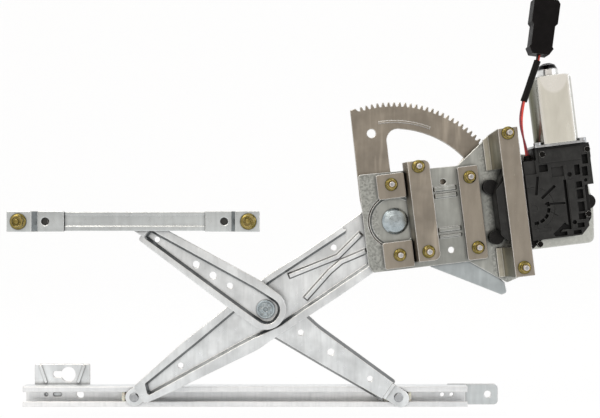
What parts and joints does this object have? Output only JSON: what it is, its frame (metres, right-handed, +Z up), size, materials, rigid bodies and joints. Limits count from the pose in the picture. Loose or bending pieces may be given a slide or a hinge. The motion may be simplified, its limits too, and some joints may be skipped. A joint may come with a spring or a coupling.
{
  "type": "window regulator",
  "caption": "Crossed-arm power window regulator with toothed sector, guide rail, glass rail, stamped base plate and gear motor.",
  "frame": {"origin": "on the axis of the upper door stud beside the main pivot, where its free thread leaves the nut", "axes": "+X to the right along the rails as seen from the cabin, +Y towards the glass side of the door, +Z up as installed"},
  "size_m": [0.6465, 0.0917, 0.453],
  "materials": {
    "zinc_sheet": "bright zinc plated",
    "zinc_pin": "zinc plated, turned",
    "yellow_zinc": "yellow passivated zinc",
    "black_moulding": "moulded, glass filled",
    "plated_can": "satin nickel plated, drawn",
    "slider_plastic": "moulded acetal",
    "wheel_plastic": "moulded acetal",
    "magnet": "sintered ferrite",
    "copper": "copper segments",
    "core_steel": "laminated",
    "red_wire": "extruded insulation",
    "black_sleeve": "heat shrink sleeve"
  },
  "bodies": {
    "root": {"base_plate": "zinc_sheet", "strap_left": "zinc_sheet", "motor_bridge": "zinc_sheet", "rear_gusset": "zinc_sheet", "door_studs": "yellow_zinc", "door_nuts": "yellow_zinc", "pivot_pin": "zinc_pin", "pivot_spacer": "zinc_pin", "guide_rail": "zinc_sheet", "guide_bracket_left": "zinc_sheet", "guide_bracket_right": "zinc_sheet", "guide_bolts": "yellow_zinc", "guide_weld_nuts": "zinc_pin", "gearbox_housing": "black_moulding", "gearbox_cover": "black_moulding", "cover_screws": "zinc_pin", "mount_screws": "zinc_pin", "motor_can": "plated_can", "can_flange": "plated_can", "magnets": "magnet", "brush_card": "black_moulding", "end_bearing": "copper", "can_screws": "zinc_pin", "lead_wires": "red_wire", "lead_sleeve": "black_sleeve", "lead_tails": "red_wire", "lead_grommet": "black_sleeve", "connector": "black_moulding"},
    "lift_arm": {"main_arm": "zinc_sheet", "sector_gear": "zinc_sheet", "sector_rivets": "zinc_pin", "stud_a": "zinc_pin"},
    "equalizer": {"equalizer_upper": "zinc_sheet", "equalizer_lower": "zinc_sheet", "centre_rivet": "zinc_pin", "centre_bush": "zinc_pin", "centre_washer": "zinc_pin", "stud_t": "zinc_pin", "stud_b": "zinc_pin"},
    "shoe_a": {"slider_a": "slider_plastic"},
    "shoe_b": {"slider_b": "slider_plastic"},
    "shoe_t": {"slider_t": "slider_plastic"},
    "lift_rail": {"glass_rail": "zinc_sheet", "glass_bracket": "zinc_sheet", "glass_tab": "zinc_sheet"},
    "drive_wheel": {"output_pinion": "zinc_pin", "worm_wheel": "wheel_plastic"},
    "armature": {"armature_shaft": "zinc_pin", "armature_core": "core_steel", "commutator": "copper"}
  },
  "joints": [
    {"name": "arm_lift", "type": "hinge", "parent": "root", "child": "lift_arm", "pos_m": [0.005, 0, -0.04069], "axis": [0, 1, 0], "range_deg": [-3, 79]},
    {"name": "scissor_pivot", "type": "hinge", "parent": "lift_arm", "child": "equalizer", "pos_m": [-0.13957, 0, -0.13931], "axis": [0, 1, 0], "range_deg": [-159, 7]},
    {"name": "shoe_a_pivot", "type": "hinge", "parent": "lift_arm", "child": "shoe_a", "pos_m": [-0.29075, 0, -0.24244], "axis": [0, 1, 0], "range_deg": [-80, 4]},
    {"name": "shoe_b_pivot", "type": "hinge", "parent": "equalizer", "child": "shoe_b", "pos_m": [0.01161, 0, -0.24244], "axis": [0, 1, 0], "range_deg": [-4, 80]},
    {"name": "shoe_t_pivot", "type": "hinge", "parent": "equalizer", "child": "shoe_t", "pos_m": [-0.28414, 0, -0.04069], "axis": [0, 1, 0], "range_deg": [-4, 80]},
    {"name": "rail_slide", "type": "slide", "parent": "shoe_b", "child": "lift_rail", "axis": [1, 0, 0], "range_m": [-0.015, 0.015]},
    {"name": "pinion_spin", "type": "hinge", "parent": "root", "child": "drive_wheel", "pos_m": [0.15233, 0, -0.02663], "axis": [0, 1, 0], "range_deg": [-653.75, 26.75]},
    {"name": "armature_spin", "type": "hinge", "parent": "root", "child": "armature", "pos_m": [0.18248, -0.0032, 0.02241], "axis": [-0.1219, 0, 0.9925], "range_deg": [-1475.5, 37841.5]}
  ],
  "couplings": [
    {"joint": "scissor_pivot", "follows": "arm_lift", "ratio": -2},
    {"joint": "shoe_a_pivot", "follows": "arm_lift", "ratio": -1},
    {"joint": "shoe_b_pivot", "follows": "arm_lift", "ratio": 1},
    {"joint": "shoe_t_pivot", "follows": "arm_lift", "ratio": 1},
    {"joint": "pinion_spin", "follows": "arm_lift", "ratio": -8.25},
    {"joint": "armature_spin", "follows": "arm_lift", "ratio": 478.5}
  ]
}
